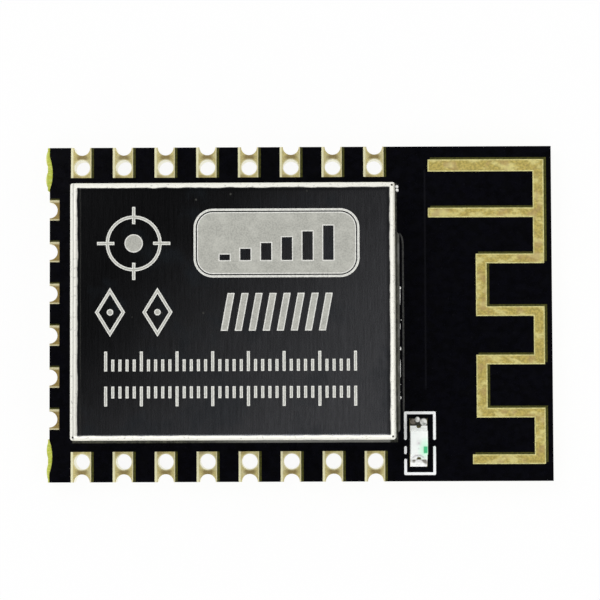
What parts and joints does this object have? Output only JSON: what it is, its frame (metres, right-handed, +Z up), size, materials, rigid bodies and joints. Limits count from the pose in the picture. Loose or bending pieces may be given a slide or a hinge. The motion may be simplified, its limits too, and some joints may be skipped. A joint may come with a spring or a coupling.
{
  "type": "wifi module",
  "caption": "Flat surface-mount 2.4 GHz radio module: black board with plated edge notches and pin holes, folded metal shield can, meander antenna and a small status lamp.",
  "frame": {"origin": "middle of the board's underside (the snapped burrs on the left edge left out)", "axes": "+X along the board towards the antenna, +Y across the board towards the upper pad row, +Z up out of the shield can"},
  "size_m": [0.0242, 0.016, 0.003],
  "materials": {
    "glass_epoxy": "matte",
    "black_varnish": "gloss",
    "gold_plate": "satin",
    "can_metal": "brushed",
    "solder": "satin",
    "pale_marking": "matte",
    "white_legend": "matte",
    "lamp_white": "satin",
    "lamp_clear": "gloss",
    "lamp_green": "satin",
    "lamp_die": "satin",
    "tin_plate": "satin",
    "black_resin": "matte",
    "white_ceramic": "satin",
    "brown_ceramic": "satin",
    "black_film": "satin",
    "blue_ceramic": "satin"
  },
  "bodies": {
    "root": {"antenna_trace": "gold_plate", "bottom_varnish": "black_varnish", "can_marking": "pale_marking", "can_solder": "solder", "capacitor_01": "brown_ceramic", "capacitor_02": "brown_ceramic", "capacitor_03": "brown_ceramic", "capacitor_04": "brown_ceramic", "capacitor_05": "brown_ceramic", "capacitor_06": "brown_ceramic", "capacitor_07": "brown_ceramic", "chip_caps": "tin_plate", "circuit_lands": "gold_plate", "coil_01": "blue_ceramic", "coil_02": "blue_ceramic", "crystal_base": "white_ceramic", "crystal_lid": "can_metal", "end_pad_01": "gold_plate", "end_pad_02": "gold_plate", "end_pad_03": "gold_plate", "end_pad_04": "gold_plate", "end_pad_05": "gold_plate", "end_pad_06": "gold_plate", "ground_land": "gold_plate", "holed_pad_01": "gold_plate", "holed_pad_02": "gold_plate", "holed_pad_03": "gold_plate", "holed_pad_04": "gold_plate", "holed_pad_05": "gold_plate", "holed_pad_06": "gold_plate", "holed_pad_07": "gold_plate", "holed_pad_08": "gold_plate", "holed_pad_09": "gold_plate", "holed_pad_10": "gold_plate", "holed_pad_11": "gold_plate", "holed_pad_12": "gold_plate", "holed_pad_13": "gold_plate", "holed_pad_14": "gold_plate", "holed_pad_15": "gold_plate", "holed_pad_16": "gold_plate", "laminate": "glass_epoxy", "lamp_base": "lamp_white", "lamp_die": "lamp_die", "lamp_lands": "gold_plate", "lamp_lens": "lamp_clear", "lamp_mark": "lamp_green", "lamp_solder": "solder", "lamp_terminals": "tin_plate", "legend_print": "white_legend", "memory_chip": "black_resin", "memory_leads": "tin_plate", "radio_chip": "black_resin", "radio_terminals": "tin_plate", "resistor_01": "black_film", "resistor_02": "black_film", "resistor_03": "black_film", "resistor_04": "black_film", "shield_can": "can_metal", "top_varnish": "black_varnish"}
  },
  "joints": []
}
